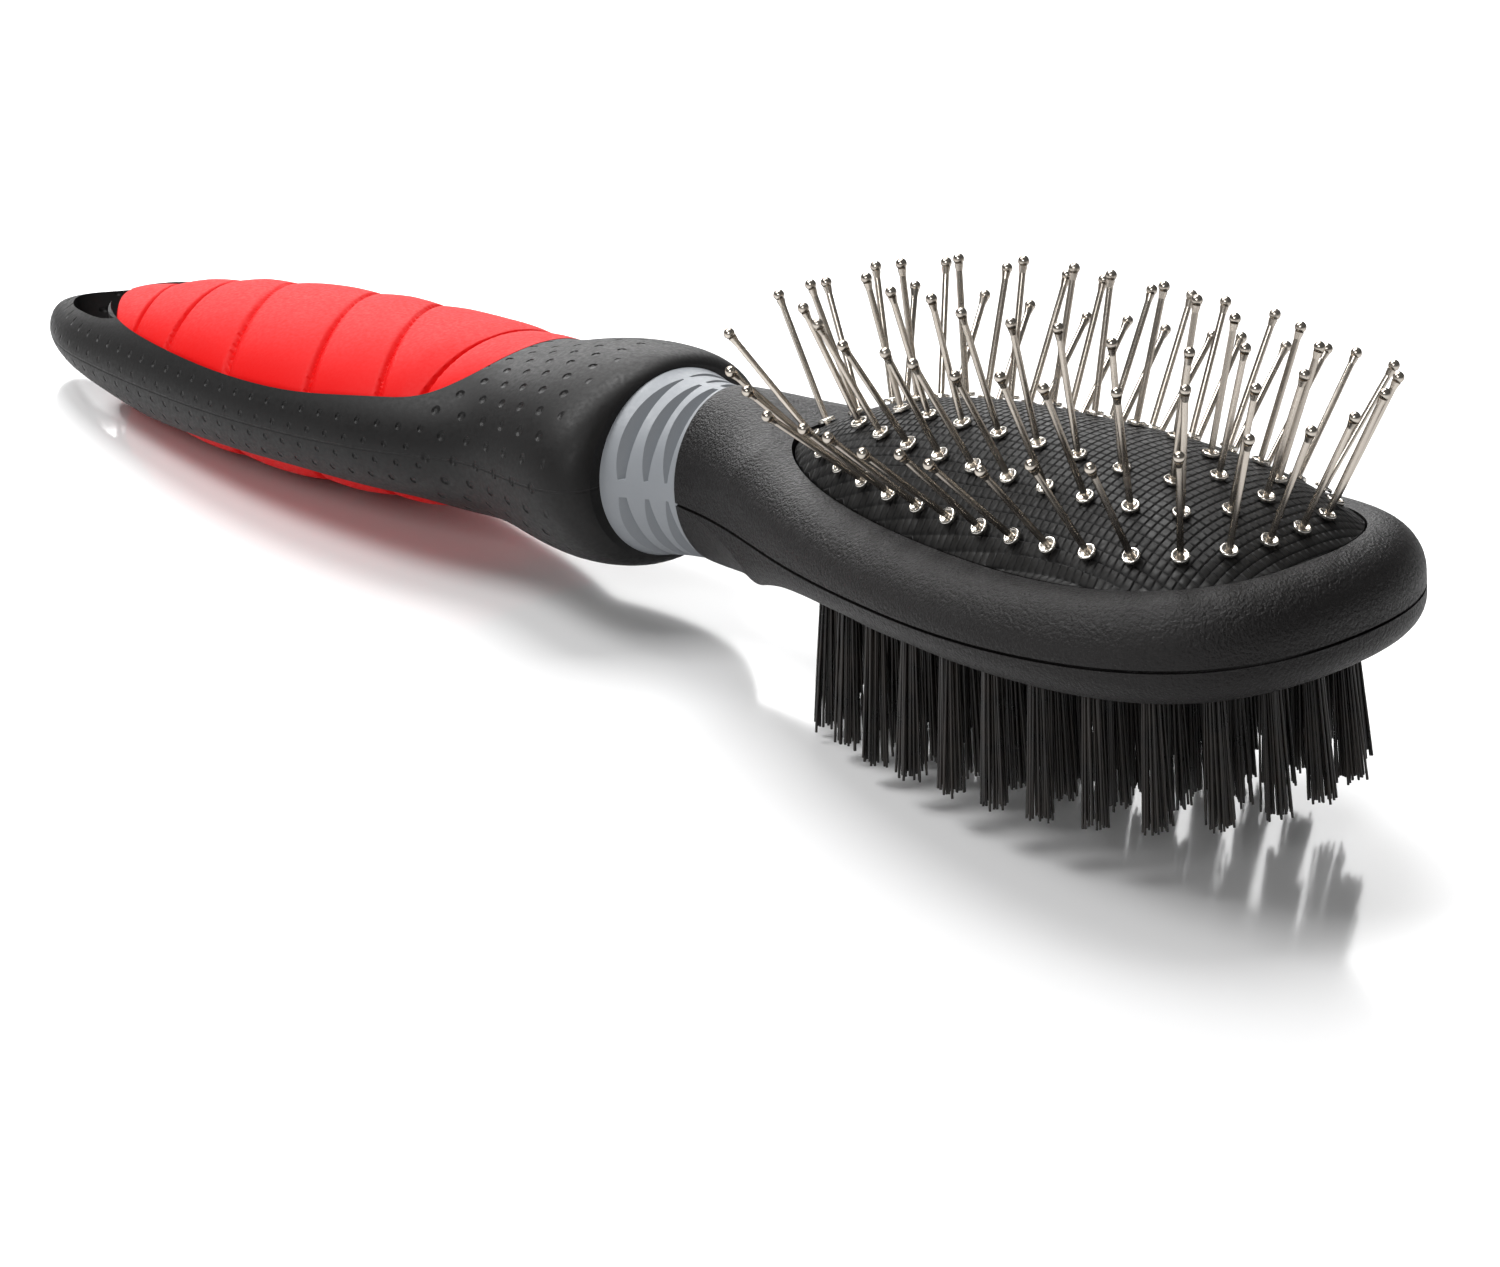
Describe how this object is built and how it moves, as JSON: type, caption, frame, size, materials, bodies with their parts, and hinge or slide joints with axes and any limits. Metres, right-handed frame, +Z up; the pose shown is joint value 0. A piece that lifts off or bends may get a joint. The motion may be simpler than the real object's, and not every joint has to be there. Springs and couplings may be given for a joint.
{
  "type": "double-sided pet brush",
  "caption": "Double-sided pet grooming brush: ball-tipped metal pins on a domed air cushion, nylon bristle tufts below, soft grip with hanging loop.",
  "frame": {"origin": "middle of the bounding box, on the surface the brush lies on", "axes": "+X towards the toe of the head, +Z up and on the pin side; the brush lies on its bristles and the belly of its grip, toe raised"},
  "size_m": [0.2438, 0.0634, 0.0631],
  "materials": {
    "shell": "fine satin texture",
    "inner_plastic": "moulded",
    "cushion_rubber": "fine diamond knurl",
    "bristle_plate": "moulded",
    "bristle_nylon": "nylon filament",
    "pin_nickel": "polished nickel wire",
    "ferrule_nickel": "bright crimped nickel",
    "anchor_steel": "plain wire",
    "collar": "matte gray",
    "grip_black": "matte with small dimples",
    "grip_red": "matte, soft"
  },
  "bodies": {
    "brush": {"bristle_plate": "bristle_plate", "bristle_tufts_centre": "bristle_nylon", "bristle_tufts_outer": "bristle_nylon", "bristle_tufts_second": "bristle_nylon", "bristle_tufts_third": "bristle_nylon", "cushion_base": "inner_plastic", "grip_bottom": "grip_red", "grip_top": "grip_red", "handle_core": "inner_plastic", "handle_skin": "grip_black", "head_lower_shell": "shell", "head_upper_shell": "shell", "neck_collar": "collar", "pin_cushion": "cushion_rubber", "tuft_anchors": "anchor_steel"},
    "pins_inner": {"pins_inner": "pin_nickel", "pin_ferrules_inner": "ferrule_nickel"},
    "pins_middle": {"pins_middle": "pin_nickel", "pin_ferrules_middle": "ferrule_nickel"},
    "pins_outer": {"pins_outer": "pin_nickel", "pin_ferrules_outer": "ferrule_nickel"}
  },
  "joints": [
    {"name": "press_inner_pins", "type": "slide", "parent": "brush", "child": "pins_inner", "axis": [-0.1127, 0, 0.9936], "range_m": [-0.004, 0], "stiffness_N_per_m": 500, "deforming": ["pin_cushion"]},
    {"name": "press_middle_pins", "type": "slide", "parent": "brush", "child": "pins_middle", "axis": [-0.1127, 0, 0.9936], "range_m": [-0.0028, 0], "stiffness_N_per_m": 500},
    {"name": "press_outer_pins", "type": "slide", "parent": "brush", "child": "pins_outer", "axis": [-0.1127, 0, 0.9936], "range_m": [-0.0014, 0], "stiffness_N_per_m": 500}
  ],
  "couplings": [
    {"joint": "press_middle_pins", "follows": "press_inner_pins", "ratio": 0.65},
    {"joint": "press_outer_pins", "follows": "press_inner_pins", "ratio": 0.3}
  ]
}
